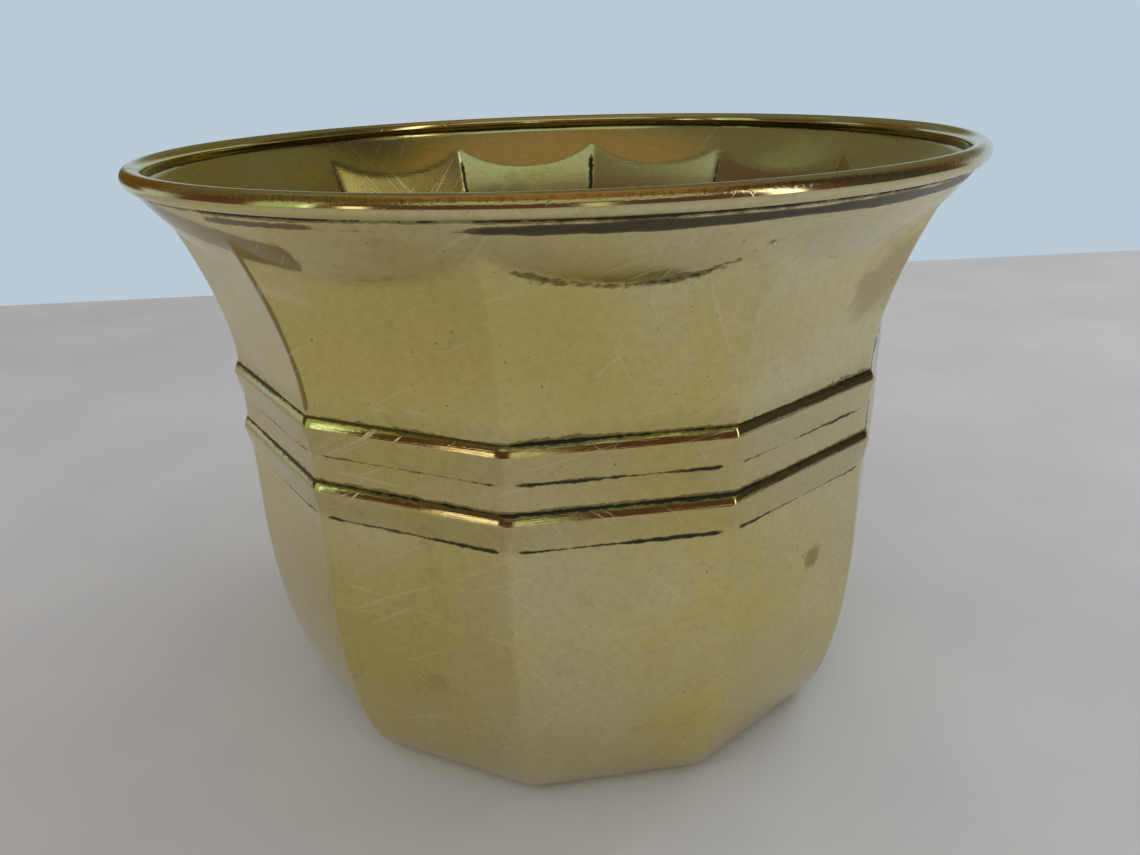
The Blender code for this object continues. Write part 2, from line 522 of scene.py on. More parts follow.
    def relief(self, sketch: NodeSketch, place: Socket, streaks: Socket, scratches: Socket,
               crown_pits: Socket) -> Socket:
        """Fine relief: streaks, planishing, scratches, drawn shoulders, pits and spun rings.

        Args:
            sketch: Tree to add to.
            place: Socket with the position.
            streaks: Socket with the polishing streaks.
            scratches: Socket with the scratches.
            crown_pits: Socket with the pits in the worn bead.

        Returns:
            Socket with the relief.
        """
        grain = sketch.noise(place, self.hammering)
        relief = sketch.plus(sketch.times(streaks, 0.35), sketch.times(grain, 0.4))
        relief = sketch.minus(relief, sketch.times(scratches, 0.5))
        along = sketch.noise(sketch.stretch(place, self.drawn_stretch), self.polish_line)
        drawn = sketch.times(along, sketch.mask(Mask.SHOULDER))
        relief = sketch.plus(relief, sketch.times(drawn, 2.5))
        relief = sketch.minus(relief, sketch.times(crown_pits, 1.2))
        level = {0: sketch.stretch(place, (1.0, 1.0, 0.0))}
        from_axis = sketch.add("ShaderNodeVectorMath", level, operation="LENGTH").outputs["Value"]
        spun = sketch.noise(sketch.add("ShaderNodeCombineXYZ", {0: from_axis}).outputs[0], self.spinning)
        height = sketch.add("ShaderNodeSeparateXYZ", {0: place}).outputs["Z"]
        spun = sketch.times(spun, sketch.ease(height, self.spun_zone))
        return sketch.plus(relief, sketch.times(spun, 2.0))

    def material(self) -> bpy.types.Material:
        """Build the finish.

        Returns:
            Material for the sheet.
        """
        made = new_material("polished_brass_aged")
        sketch = NodeSketch(made.node_tree)
        place = sketch.place()
        clouds = sketch.noise(place, self.clouds)
        scratches = self.scratches(sketch, place)
        streaks = sketch.noise(sketch.stretch(place, self.streak_stretch), self.polish_line)
        colour = self.clean_metal(sketch, place, clouds, scratches)
        crown = sketch.mask(Mask.CROWN)
        colour = sketch.mix(sketch.times(crown, 0.65), colour, self.copper)
        crown_pits = sketch.times(crown, sketch.ease(sketch.noise(place, self.pits), (0.46, 0.60)))
        colour = sketch.mix(sketch.times(crown_pits, 0.6), colour, self.brown)
        ragged = sketch.noise(sketch.stretch(place, self.crumb_stretch), self.crumbs)
        patchy = sketch.ease(sketch.noise(place, self.patches), (0.36, 0.64), (-0.24, 0.11))
        halo, dirt_and_shade = self.crease_dirt_and_shade(sketch, sketch.plus(sketch.times(ragged, 0.9), patchy))
        colour = sketch.mix(sketch.times(halo, 0.75), colour, self.olive)
        specks = sketch.ease(sketch.noise(place, self.specks), (0.72, 0.78))
        dirt_and_shade = sketch.larger(dirt_and_shade, sketch.times(specks, 0.6))
        # painted shadow under the bead, partly residue: reddish brown at its edge, black in its core
        collar = sketch.plus(sketch.mask(Mask.COLLAR), sketch.times(ragged, 0.16))
        collar = sketch.plus(collar, sketch.times(patchy, 0.8))
        collar_shade = sketch.mix(sketch.ease(collar, self.collar_core), self.rust, self.grime_and_shadow_black)
        collar = sketch.ease(collar, self.collar_limits, (0.0, 0.9))
        colour = sketch.mix(collar, colour, collar_shade)
        colour = sketch.mix(dirt_and_shade, colour, self.grime_and_shadow_black)
        dirt_and_shade = sketch.larger(dirt_and_shade, sketch.times(collar, 0.5))
        worn = sketch.larger(dirt_and_shade, sketch.times(halo, 0.6))
        relief = self.relief(sketch, place, streaks, scratches, crown_pits)
        sketch.surface({
            "Base Color": colour,
            "Metallic": sketch.minus(1.0, sketch.times(dirt_and_shade, 0.8)),
            "Roughness": self.roughness(sketch, clouds, streaks, scratches, worn),
            "Normal": sketch.bump(relief, strength=0.12, distance=0.0002),
        })
        return made


@dataclass(frozen=True)
class DrawnWire:
    """Dull drawn steel with lengthwise die marks and a little rust."""

    steel: Colour = (0.42, 0.40, 0.36, 1.0)
    rust: Colour = (0.20, 0.09, 0.04, 1.0)
    die_stretch: Triple = (40.0, 40.0, 4000.0)
    die_marks: Grain = Grain(1.0, 2.0)
    rust_spots: Grain = Grain(220.0, 5.0)

    def material(self) -> bpy.types.Material:
        """Build the finish.

        Returns:
            Material for the wire.
        """
        made = new_material("drawn_steel_dull")
        sketch = NodeSketch(made.node_tree)
        place = sketch.place()
        marks = sketch.noise(sketch.stretch(place, self.die_stretch), self.die_marks)
        rusty = sketch.ease(sketch.noise(place, self.rust_spots), (0.52, 0.68))
        sketch.surface({
            "Base Color": sketch.mix(sketch.times(rusty, 0.6), self.steel, self.rust),
            "Metallic": sketch.minus(1.0, sketch.times(rusty, 0.5)),
            "Roughness": sketch.ease(marks, (0.3, 0.7), (0.35, 0.60)),
            "Normal": sketch.bump(marks, strength=0.2, distance=0.0001),
        })
        return made


@dataclass(frozen=True)
class PaleCloth:
    """The plain pale surface that the pot stands on."""

    light: Colour = (0.78, 0.765, 0.765, 1.0)
    shade: Colour = (0.72, 0.71, 0.72, 1.0)
    folds: Grain = Grain(9.0, 3.0)
    weave: Grain = Grain(1800.0, 2.0)
    weave_stretch: Triple = (1.0, 0.6, 1.0)
    roughness: float = 0.8

    def material(self) -> bpy.types.Material:
        """Build the finish.

        Returns:
            Material for the floor.
        """
        made = new_material("pale_table")
        sketch = NodeSketch(made.node_tree)
        place = sketch.place()
        folds = sketch.ease(sketch.noise(place, self.folds), (0.35, 0.65))
        weave = sketch.noise(sketch.stretch(place, self.weave_stretch), self.weave)
        sketch.surface({
            "Base Color": sketch.mix(folds, self.light, self.shade),
            "Roughness": self.roughness,
            "Normal": sketch.bump(weave, strength=0.15, distance=0.0002),
        })
        return made


@dataclass(frozen=True)
class Ribs:
    """The two ribs pressed into the facets: a rounded shoulder, a flat band and a small step."""

    crests: Span = (0.0835, 0.0987)                  # heights at which the shoulders meet the bands
    proud: float = 0.0012
    shoulder: float = 0.0026
    fullness: float = 1.5                            # roundness of the shoulder's section
    band: float = 0.0061
    step: float = 0.0005
    step_drop: float = 0.00025
    groove: float = 0.0007
    step_ends: Span = (0.80, 0.93)                    # shares of half a facet over which it fades

    def ridge(self, height: np.ndarray) -> np.ndarray:
        """Stand-off of the shoulder and the band, falling to nothing at the band's foot.

        Args:
            height: Heights on the outside wall.

        Returns:
            Distance that the face stands off the wall.
        """
        total = np.zeros_like(height)
        for crest in self.crests:
            above = height - crest
            on_shoulder = (above >= 0) & (above <= self.shoulder)
            rise = np.clip(above / self.shoulder, 0.0, 1.0)
            fall = (1 - rise**self.fullness) ** (1 / self.fullness)
            total += np.where(on_shoulder, self.proud * fall, 0.0)
            on_band = (above < 0) & (above >= -self.band)
            total += np.where(on_band, self.proud * (1 + above / self.band), 0.0)
        return total

    def ledge(self, height: np.ndarray) -> np.ndarray:
        """What the step adds to the band, growing down the band and dropping below it.

        Args:
            height: Heights on the outside wall.

        Returns:
            Distance that the step adds.
        """
        total = np.zeros_like(height)
        for crest in self.crests:
            above = height - crest
            on_band = (above < 0) & (above >= -self.band)
            total += np.where(on_band, -self.step * above / self.band, 0.0)
            drop = (above + self.band + self.step_drop) / self.step_drop
            below = (above < -self.band) & (drop > 0)
            total += np.where(below, self.step * np.clip(drop, 0.0, 1.0), 0.0)
        return total

    def channel(self, height: np.ndarray) -> np.ndarray:
        """Depth of the matching channels on the inside.

        Args:
            height: Heights on the inside wall.

        Returns:
            Distance that the inside face is pushed outwards.
        """
        total = np.zeros_like(height)
        for crest in self.crests:
            share = (height - crest + self.band) / (self.band + self.shoulder)
            inside = (share > 0) & (share < 1)
            total += np.where(inside, self.groove * np.sin(math.pi * share), 0.0)
        return total


@dataclass(frozen=True)
class Profile:
    """Outline of the pot, from the foot to the bead."""

    height: float
    rim_diameter: float
    waist: float = 0.0893
    belly: float = 0.09105
    foot: float = 0.0770
    sheet: float = 0.0008
    dish: float = 0.062
    dish_slope: float = 0.004
    dish_rise: float = 0.001
    heel_height: float = 0.0543
    heel_fullness: float = 2.29
    flare_depth: float = 0.046
    flare_power: float = 1.66
    facet_end_depth: float = 0.0101
    cup_slope: float = 0.63
    cup_curve: float = 12.5
    bead: float = 0.0022
    wall_offset: float = 0.00025
    lip_angle: float = math.radians(-56)
    throat_angle: float = math.radians(-80)
    crease_angle: float = math.radians(247)
    crease_drop: float = 0.0005
    ribs: Ribs = field(default_factory=Ribs)

    @property
    def bead_radius(self) -> float:
        """Distance from the pot's axis to the middle of the bead."""
        return self.rim_diameter / 2 - self.bead

    @property
    def bead_height(self) -> float:
        """Height of the middle of the bead."""
        return self.height - self.bead

    @property
    def cup_top(self) -> float:
        """Height at which the outside wall meets the bead."""
        return self.height - 2 * self.bead

    @property
    def facet_end(self) -> float:
        """Height at which the corners die out."""
        return self.height - self.facet_end_depth

    @property
    def flare_start(self) -> float:
        """Height at which the corners start to lean out."""
        return self.height - self.flare_depth

    def cup_radius(self, height: np.ndarray) -> np.ndarray:
        """Outside radius of the round cup under the bead."""
        drop = self.cup_top - height
        return self.bead_radius + self.wall_offset - self.cup_slope * drop - self.cup_curve * drop**2

    def corner_radius(self, height: np.ndarray) -> np.ndarray:
        """Outside radius over the corners above the heel, without the ribs.

        Args:
            height: Heights to measure at.

        Returns:
            Radii at those heights.
        """
        taper = np.clip((height - self.heel_height) / (self.flare_start - self.heel_height), 0.0, 1.0)
        straight = self.belly + (self.waist - self.belly) * taper
        share = np.clip((height - self.flare_start) / (self.facet_end - self.flare_start), 0.0, None)
        return straight + (self.cup_radius(self.facet_end) - self.waist) * share**self.flare_power

    def slant_wall(self, radius_at: Callable[[np.ndarray], np.ndarray], height: np.ndarray) -> np.ndarray:
        """Level width of the sheet where its face leans.

        Args:
            radius_at: Function that gives the outside radius at a height.
            height: Heights to measure at.

        Returns:
            Width of the sheet on a level cut.
        """
        probe = 0.0001
        slope = (radius_at(height + probe) - radius_at(height - probe)) / (2 * probe)
        return self.sheet * np.sqrt(1 + slope**2)


@dataclass
class Rings:
    """Level rings of one stretch of the sheet."""

    heights: np.ndarray
    corners: np.ndarray
    circles: np.ndarray
    ridge: np.ndarray
    ledge: np.ndarray

    @classmethod
    def plain(cls, heights: np.ndarray, corners: np.ndarray, circles: np.ndarray) -> "Rings":
        """Rings without ribs, from arrays of one length."""
        zero = np.zeros_like(heights)
        return cls(heights, corners, circles, zero, zero)

    @classmethod
    def joined(cls, lower: "Rings", upper: "Rings") -> "Rings":
        """The rings of one stretch, followed by those of the next."""
        names = [part.name for part in fields(cls)]
        return cls(*(np.concatenate([getattr(lower, name), getattr(upper, name)]) for name in names))

    def downwards(self) -> "Rings":
        """The same rings, from the last to the first."""
        return Rings(*(getattr(self, part.name)[::-1] for part in fields(self)))


@dataclass
class Patch:
    """A stretch of finished surface: points and masks, ring by ring."""

    points: np.ndarray
    masks: dict[Mask, np.ndarray]


@dataclass(frozen=True)
class Marks:
    """Where residue, wear, painted reflections and the painted shadow under the bead lie on the shell;
    lists go round the facets from +X.
    """

    residue_by_facet: tuple[float, ...] = (0.7, 0.5, 0.9, 0.6, 1.0, 0.6, 0.8, 0.6, 0.84, 1.0, 0.78, 0.6)
    arc_by_facet: tuple[float, ...] = (0.4, 0.8, 0.3, 0.9, 0.5, 0.3, 0.8, 0.3, 0.35, 1.0, 0.80, 0.5)
    wear_by_facet: tuple[float, ...] = (0.0, 0.3, 0.9, 1.0, 0.6, 0.1, 0.0, 0.25, 1.0, 1.0, 0.7, 0.1)
    # the last list sets how strong the painted shadow and residue under the bead is on each facet
    collar_by_facet: tuple[float, ...] = (0.5, 0.9, 0.7, 0.4, 0.9, 0.8, 0.5, 0.25, 0.42, 1.0, 0.88, 0.8)
    bead_crease_reach: float = 0.0009
    rib_crease_reach: float = 0.0013
    rib_crease_drop: float = 0.0001
    step_fade: Span = (0.86, 0.98)
    arc_reach: float = 0.0015
    # place and width of the painted shadow and residue under the bead
    collar_drop: float = 0.0015
    collar_reach: float = 0.0016
    corner_start: float = 0.93                       # share of half a facet at which a corner starts
    # painted dark reflections along the inside corners: strength, rise and fall
    inside_corner_reflection: float = 0.9
    inside_corner_rise: float = 0.01
    inside_corner_fall: float = 0.006
    # painted amber reflections along two corners and in a tongue under the bead
    reflecting_corners: tuple[int, ...] = (2, 8)
    corner_reflection_rise: float = 0.003
    corner_reflection_fade: float = 0.004
    tongue_start: float = math.radians(203)
    tongue_end: float = math.radians(235)
    tongue_ends: tuple[Span, Span] = ((0.0, 0.05), (0.93, 1.0))
    tongue_drop: float = 0.0005                      # below the bead, where the tongue starts
    tongue_fall: float = 0.0085                      # from there to its end
    tongue_width: float = 0.0042
    tongue_firmness: float = 1.4
    crown_rise: Span = (math.radians(19), math.radians(26))
    crown_fall: Span = (math.radians(47), math.radians(58))
    bead_crease_turn: float = math.radians(24)


@dataclass
class Shell:
    """The pot's one brass sheet, as a fine closed mesh with painted masks."""

    profile: Profile
    marks: Marks = field(default_factory=Marks)
    name: str = "brass_shell"
    columns_per_half: int = 11                       # from the middle of a facet to its corner
    corner_crowding: float = 1.9
    corner_softness: float = 0.00055
    arc_softness: float = 0.00035
    dish_start: float = 0.012
    dish_rings: int = 5
    dish_edge_rings: int = 4
    heel_rings: int = 33
    wall_rings: int = 16
    band_rings: int = 12
    shoulder_rings: int = 15
    between_rings: int = 6
    flare_rings: int = 18
    cup_rings: int = 11
    inside_wall_rings: int = 12
    channel_rings: int = 30
    inside_flare_rings: int = 14
    inside_cup_rings: int = 8
    below_ribs: float = 0.001
    above_ribs: float = 0.0005
    edge_gap: float = 0.00006                        # to the ring that holds an edge sharp
    scallop_zone: float = 0.024                      # below the rim, where the scallops run
    outside_spacing: float = 0.00045                 # of the rings there
    inside_spacing: float = 0.0007
    height_digits: int = 7
    curl_rings: int = 13
    lip_rings: int = 8
    crown_rings: int = 13
    back_rings: int = 19
    lip_softness: float = math.radians(4)
    wave_height: float = 0.00009
    wave_length: float = 0.030
    tight_waves: Span = (0.3, 2.7)                   # height and number of the tighter waves
    wave_rise: Span = (0.004, 0.02)
    outside_seed: float = 3.0
    inside_seed: float = 8.0
    sharp_angle: float = math.radians(38)

    @cached_property
    def across(self) -> np.ndarray:
        """Place of each column on its facet, from -1 at one corner to 1 at the other.

        Returns:
            A value for each column, closer together near the corners.
        """
        share = np.linspace(0.0, 1.0, self.columns_per_half + 1)
        eased = 1 - (1 - share) ** self.corner_crowding
        one_facet = np.concatenate([-eased[:0:-1], eased])[1:]
        return np.tile(one_facet, SIDES)

    @cached_property
    def facets(self) -> np.ndarray:
        """Number of each column's facet."""
        return np.repeat(np.arange(SIDES), 2 * self.columns_per_half)

    @cached_property
    def angles(self) -> np.ndarray:
        """Direction of each column from the pot's axis, in radians."""
        return self.facets * 2 * HALF_SIDE + self.across * HALF_SIDE

    @property
    def ribs_foot(self) -> float:
        """Height just below the lower rib."""
        return self.profile.ribs.crests[0] - self.profile.ribs.band - self.below_ribs

    @property
    def ribs_head(self) -> float:
        """Height just above the upper rib."""
        return self.profile.ribs.crests[1] + self.profile.ribs.shoulder + self.above_ribs

    @property
    def scallop_foot(self) -> float:
        """Height at which the rings for the scallops start."""
        return self.profile.height - self.scallop_zone

    def base_rings(self, inset: float) -> Rings:
        """Rings of the dish, the foot and the heel.

        Args:
            inset: 0 for the outside face, or the sheet's thickness for the inside.

        Returns:
            Rings from the dish to the top of the heel.
        """
        shape = self.profile
        dish = np.linspace(self.dish_start, shape.dish - shape.dish_slope, self.dish_rings)
        slope = np.linspace(0.0, 1.0, self.dish_edge_rings + 1)[1:]
        flat_radius = np.concatenate([dish, shape.dish - shape.dish_slope * (1 - slope)])
        flat_height = inset + shape.dish_rise * (1 - smooth_step(flat_radius, dish[-1], shape.dish))
        quarter = np.linspace(0.0, math.pi / 2, self.heel_rings)
        reach = shape.belly - shape.foot - inset
        out = np.sin(quarter) ** (2 / shape.heel_fullness)
        rise = 1 - np.cos(quarter) ** (2 / shape.heel_fullness)
        heights = np.concatenate([flat_height, inset + (shape.heel_height - inset) * rise])
        corners = np.concatenate([np.zeros_like(flat_radius), shape.foot + reach * out])
        circles = np.concatenate([flat_radius, np.zeros_like(quarter)])
        return Rings.plain(heights, corners, circles)

    def inside_heights(self) -> np.ndarray:
        """Heights of the inside wall's rings, with even spacing over the soft channels.

        Returns:
            Heights from just above the heel to the end of the facets.
        """
        shape = self.profile
        return np.concatenate([
            np.linspace(shape.heel_height, self.ribs_foot, self.inside_wall_rings)[1:],
            np.linspace(self.ribs_foot, self.ribs_head, self.channel_rings)[1:],
            np.linspace(self.ribs_head, self.scallop_foot, self.inside_flare_rings)[1:],
            np.arange(self.scallop_foot, shape.facet_end, self.inside_spacing)[1:],
        ])

    def outside_heights(self) -> np.ndarray:
        """Heights of the outside wall's rings, closer together at the ribs and the scallops.

        Returns:
            Heights from just above the heel to the end of the facets.
        """
        shape = self.profile
        ribs = shape.ribs
        gap = self.edge_gap
        parts = [np.linspace(shape.heel_height, self.ribs_foot, self.wall_rings)[1:]]
        for crest in ribs.crests:
            foot = crest - ribs.band
            parts.append(foot + np.array([-ribs.step_drop - gap, -ribs.step_drop, -gap, 0.0, gap]))
            parts.append(np.linspace(foot, crest, self.band_rings)[1:-1])
            turn = np.linspace(0.0, math.pi / 2, self.shoulder_rings)
            parts.append(crest + ribs.shoulder * np.sin(turn))
            parts.append(crest + np.array([-gap, ribs.shoulder + gap]))
        lower_head = ribs.crests[0] + ribs.shoulder
        upper_foot = ribs.crests[1] - ribs.band
        parts.append(np.linspace(lower_head, upper_foot, self.between_rings)[1:-1])
        parts.append(np.linspace(self.ribs_head, self.scallop_foot, self.flare_rings))
        parts.append(np.arange(self.scallop_foot, shape.facet_end, self.outside_spacing)[1:])
        return np.unique(np.round(np.concatenate(parts), self.height_digits))

    def outside_rings(self) -> Rings:
        """Rings of the outside face from the heel to the bead.

        Returns:
            Rings of the faceted wall and of the round cup over it.
        """
        shape = self.profile
        wall = self.outside_heights()
        cup = np.linspace(shape.facet_end, shape.cup_top, self.cup_rings)
        heights = np.concatenate([wall, cup])
        corners = np.concatenate([shape.corner_radius(wall), np.zeros_like(cup)])
        circles = shape.cup_radius(heights)
        return Rings(heights, corners, circles, shape.ribs.ridge(heights), shape.ribs.ledge(heights))

    def inside_rings(self) -> Rings:
        """Rings of the inside face from the heel to the bead.

        Returns:
            Rings of the faceted wall and of the round cup over it.
        """
        shape = self.profile
        wall = self.inside_heights()
        cup = np.linspace(shape.facet_end, shape.cup_top - shape.crease_drop, self.inside_cup_rings)
        heights = np.concatenate([wall, cup])
        inner = shape.corner_radius(wall) - shape.slant_wall(shape.corner_radius, wall)
        corners = np.concatenate([inner + shape.ribs.channel(wall), np.zeros_like(cup)])
        circles = shape.cup_radius(heights) - shape.slant_wall(shape.cup_radius, heights)
        return Rings.plain(heights, corners, circles)

    def radii(self, rings: Rings) -> np.ndarray:
        """Radius of each ring at each column.

        Args:
            rings: Rings to lay out.

        Returns:
            Radii, ring by ring.
        """
        apothem = (rings.corners * math.cos(HALF_SIDE))[:, None]
        turn = (np.abs(self.across) * HALF_SIDE)[None, :]
        near = apothem / np.cos(turn)
        far = apothem / np.cos(2 * HALF_SIDE - turn)
        fold = -soft_larger(-near, -far, self.corner_softness)
        fade = 1 - smooth_step(np.abs(self.across), *self.profile.ribs.step_ends)
        fold = fold + rings.ridge[:, None] + rings.ledge[:, None] * fade[None, :]
        return soft_larger(fold, np.broadcast_to(rings.circles[:, None], fold.shape), self.arc_softness)

    def waves(self, points: np.ndarray, seed: float) -> np.ndarray:
        """Small radial waves left by pressing and polishing.

        Args:
            points: Points of a stretch of wall.
            seed: Offset that sets one face's waves apart from the other's.

        Returns:
            Radial shift of each point.
        """
        flat = points.reshape(-1, 3) / self.wave_length
        offset = Vector((seed, seed, seed))
        share, number = self.tight_waves
        broad = np.array([noise.noise(Vector(point) + offset) for point in flat])
        tight = np.array([noise.noise((Vector(point) + offset) * number) for point in flat])
        shift = (broad + share * tight).reshape(points.shape[:2])
        free = smooth_step(points[..., 2], *self.wave_rise)
        free = free * (1 - smooth_step(points[..., 2], self.profile.facet_end, self.profile.cup_top))
        return shift * free * self.wave_height

    def place(self, rings: Rings, seed: float) -> np.ndarray:
        """Points of a stretch of rings.

        Args:
            rings: Rings to place.
            seed: Offset of the waves on this face.

        Returns:
            Points, ring by ring.
        """
        radii = self.radii(rings)
        heights = np.broadcast_to(rings.heights[:, None], radii.shape)
        directions = np.stack([np.cos(self.angles), np.sin(self.angles)], -1)[None]
        points = np.concatenate([radii[..., None] * directions, heights[..., None]], -1)
        radii = radii + self.waves(points, seed)
        return np.concatenate([radii[..., None] * directions, heights[..., None]], -1)

    def by_column(self, by_facet: tuple[float, ...], reach: int = 2) -> np.ndarray:
        """Spread one value per facet over the columns, easing from each facet to the next.

        Args:
            by_facet: A value for each facet.
            reach: Columns on each side that a value eases over.

        Returns:
            A row of values, one for each column.
        """
        columns = np.array(by_facet)[self.facets]
        wrapped = np.concatenate([columns[-reach:], columns, columns[:reach]])
        window = 2 * reach + 1
        return np.convolve(wrapped, np.ones(window) / window, "valid")[None, :]

    def corner_nearness(self) -> np.ndarray:
        """How near each column is to a corner between two facets, from 0 to 1."""
        start = self.marks.corner_start
        return np.clip((np.abs(self.across) - start) / (1 - start), 0.0, 1.0)[None, :]

    def painted_reflections(self, heights: np.ndarray) -> np.ndarray:
        """How much painted amber reflection lies along two of the flare's corners, and in one tongue under
        the bead.

        Args:
            heights: Heights of the rings.

        Returns:
            Values from 0 to 1, ring by ring.
        """
        shape = self.profile
        marks = self.marks
        corner = np.where(self.across < 0, self.facets, (self.facets + 1) % SIDES)
        kept = np.isin(corner, marks.reflecting_corners)[None, :]
        low = smooth_step(heights, shape.flare_start - marks.corner_reflection_rise, shape.flare_start)
        high = 1 - smooth_step(heights, shape.facet_end - marks.corner_reflection_fade, shape.facet_end)
        along_corners = self.corner_nearness() * kept * (low * high)[:, None]
        share = (self.angles - marks.tongue_start) / (marks.tongue_end - marks.tongue_start)
        begin, finish = marks.tongue_ends
        within = smooth_step(share, *begin) * (1 - smooth_step(share, *finish))
        middle = shape.cup_top - marks.tongue_drop - marks.tongue_fall * share
        apart = np.abs(heights[:, None] - middle[None, :])
        tongue = np.clip(marks.tongue_firmness * (1 - apart / marks.tongue_width), 0.0, 1.0)
        return np.maximum(along_corners, within[None, :] * tongue)

    def empty_masks(self, points: np.ndarray) -> dict[Mask, np.ndarray]:
        """Masks of a stretch, all at 0."""
        return {mask: np.zeros(points.shape[:2]) for mask in Mask}

    def arc_field(self, rings: Rings) -> np.ndarray:
        """How near each point is to the scalloped end of its facet.

        Args:
            rings: Rings of the stretch.

        Returns:
            Values from 0 to 1, ring by ring.
        """
        apothem = (rings.corners * math.cos(HALF_SIDE))[:, None]
        facet = apothem / np.cos(np.abs(self.across) * HALF_SIDE)[None, :]
        return nearness(facet, rings.circles[:, None], self.marks.arc_reach)

    def outside(self) -> Patch:
        """Build the outside face, from the dish to the bead.

        Returns:
            Its points and masks.
        """
        ribs = self.profile.ribs
        marks = self.marks
        top = self.profile.cup_top
        rings = Rings.joined(self.base_rings(0.0), self.outside_rings())
        points = self.place(rings, self.outside_seed)
        masks = self.empty_masks(points)
        high = rings.heights[:, None]
        fade = 1 - smooth_step(np.abs(self.across), *marks.step_fade)[None, :]
        share = self.by_column(marks.residue_by_facet)
        crease = nearness(high, top, marks.bead_crease_reach)
        for crest in ribs.crests:
            head = crest + ribs.shoulder - marks.rib_crease_drop
            foot = crest - ribs.band - marks.rib_crease_drop
            crease = np.maximum(crease, nearness(high, head, marks.rib_crease_reach))
            step = nearness(high, foot, marks.rib_crease_reach) * fade * (1 + share) / 2
            masks[Mask.STEP] = np.maximum(masks[Mask.STEP], step)
            on_shoulder = (high > crest) & (high < crest + ribs.shoulder)
            masks[Mask.SHOULDER] = np.where(on_shoulder, 1.0, masks[Mask.SHOULDER])
        masks[Mask.RESIDUE] = crease * share
        masks[Mask.ARC] = self.arc_field(rings) * self.by_column(marks.arc_by_facet)
        masks[Mask.SEAM] = self.painted_reflections(rings.heights)
        # painted shadow under the bead, partly residue
        collar = nearness(high, top - marks.collar_drop, marks.collar_reach)
        masks[Mask.COLLAR] = collar * self.by_column(marks.collar_by_facet, reach=6)
        return Patch(points, masks)

    def inside(self) -> Patch:
        """Build the inside face, from the bead down to the floor.

        Returns:
            Its points and masks.
        """
        shape = self.profile
        marks = self.marks
        rings = Rings.joined(self.base_rings(shape.sheet), self.inside_rings()).downwards()
        points = self.place(rings, self.inside_seed)
        masks = self.empty_masks(points)
        masks[Mask.INSIDE] += 1.0
        heel = shape.heel_height
        low = smooth_step(rings.heights, heel, heel + marks.inside_corner_rise)
        high = 1 - smooth_step(rings.heights, shape.facet_end - marks.inside_corner_fall, shape.facet_end)
        # painted dark reflections along the inside corners
        masks[Mask.STEP] = self.corner_nearness() * (low * high)[:, None] * marks.inside_corner_reflection
        return Patch(points, masks)

    def arc_points(self, radius: float, angles: np.ndarray) -> np.ndarray:
        """Points of rings on an arc round the middle of the bead.

        Args:
            radius: Radius of the arc.
            angles: Angles of the rings, from straight out, turning up.

        Returns:
            Points, ring by ring.
        """
        shape = self.profile
        out = (shape.bead_radius + radius * np.cos(angles))[:, None]
        up = (shape.bead_height + radius * np.sin(angles))[:, None]
        level = np.ones_like(self.angles)[None, :]
        return np.stack([out * np.cos(self.angles), out * np.sin(self.angles), up * level], -1)

    def curl(self) -> Patch:
        """Build the rolled bead: round the wire inside, over the free edge, and back outside.

        Returns:
            Its points and masks.
        """
        shape = self.profile
        marks = self.marks
        round_wire = np.linspace(shape.throat_angle, shape.lip_angle - FULL_TURN, self.curl_rings)
        inner_edge = np.array([shape.lip_angle - self.lip_softness * 0.6])
        outer_edge = np.array([shape.lip_angle])
        outer = np.concatenate([
            np.linspace(shape.lip_angle + self.lip_softness, 0.0, self.lip_rings),
            np.linspace(0.0, math.pi / 2, self.crown_rings)[1:],
            np.linspace(math.pi / 2, shape.crease_angle, self.back_rings)[1:],
        ])
        points = np.concatenate([
            self.arc_points(shape.bead - shape.sheet, round_wire),
            self.arc_points(shape.bead - shape.sheet * 0.75, inner_edge),
            self.arc_points(shape.bead - shape.sheet * 0.2, outer_edge),
            self.arc_points(shape.bead, outer),
        ])
        masks = self.empty_masks(points)
        first_outer = len(points) - len(outer)
        crown = smooth_step(outer, *marks.crown_rise) * (1 - smooth_step(outer, *marks.crown_fall))
        wear = self.by_column(marks.wear_by_facet, reach=10)
        masks[Mask.CROWN][first_outer:] = crown[:, None] * wear
        masks[Mask.RESIDUE][:len(round_wire)] = 1.0
        crease = nearness(outer, shape.crease_angle, marks.bead_crease_turn)
        masks[Mask.RESIDUE][first_outer:] = crease[:, None]
        return Patch(points, masks)

